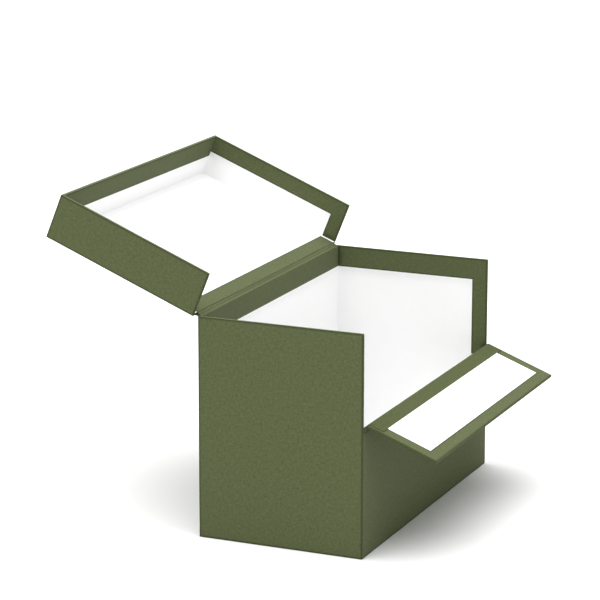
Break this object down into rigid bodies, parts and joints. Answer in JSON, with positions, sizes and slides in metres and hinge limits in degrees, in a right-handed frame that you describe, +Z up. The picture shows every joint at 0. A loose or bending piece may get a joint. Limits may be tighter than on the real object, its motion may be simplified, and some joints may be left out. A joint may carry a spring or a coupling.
{
  "type": "transfer file box",
  "caption": "Cloth-covered board file box with a hinged shallow lid and a drop-down front flap, lined in white paper.",
  "frame": {"origin": "centre of the body's underside, on the surface that the box stands on", "axes": "+Z up, -Y out of the low front wall with the drop flap, +X to the right of someone facing the flap; both hinges run along X"},
  "size_m": [0.408, 0.4758, 0.3852],
  "materials": {
    "cover_cloth": "matte",
    "hinge_cloth": "matte",
    "grey_board": "matte",
    "liner_paper": "matte"
  },
  "bodies": {
    "body": {"base_board": "grey_board", "back_board": "grey_board", "front_board": "grey_board", "left_side_board": "grey_board", "right_side_board": "grey_board", "body_cover_cloth": "cover_cloth", "base_cover_cloth": "cover_cloth", "back_hinge_leaf": "hinge_cloth", "front_hinge_leaf": "hinge_cloth", "base_liner": "liner_paper", "back_liner": "liner_paper", "front_liner": "liner_paper", "left_side_liner": "liner_paper", "right_side_liner": "liner_paper"},
    "lid": {"lid_panel_board": "grey_board", "lid_front_board": "grey_board", "lid_left_board": "grey_board", "lid_right_board": "grey_board", "lid_cover_cloth": "cover_cloth", "lid_panel_liner": "liner_paper", "lid_front_liner": "liner_paper", "lid_left_liner": "liner_paper", "lid_right_liner": "liner_paper", "lid_hinge_leaf": "hinge_cloth", "lid_gutter_cloth": "hinge_cloth", "lid_gutter_lining": "hinge_cloth"},
    "flap": {"flap_board": "grey_board", "flap_cover_cloth": "cover_cloth", "flap_hinge_leaf": "hinge_cloth", "flap_liner": "liner_paper", "flap_gutter_cloth": "hinge_cloth", "flap_gutter_lining": "hinge_cloth"}
  },
  "joints": [
    {"name": "lid_hinge", "type": "hinge", "parent": "body", "child": "lid", "pos_m": [0, 0.09965, 0.2608], "axis": [-1, 0, 0], "range_deg": [-158, 72], "deforming": ["lid_gutter_cloth", "lid_gutter_lining"]},
    {"name": "flap_hinge", "type": "hinge", "parent": "body", "child": "flap", "pos_m": [0, -0.10015, 0.15305], "axis": [1, 0, 0], "range_deg": [-110.7, 59.3], "deforming": ["flap_gutter_cloth", "flap_gutter_lining"]}
  ]
}
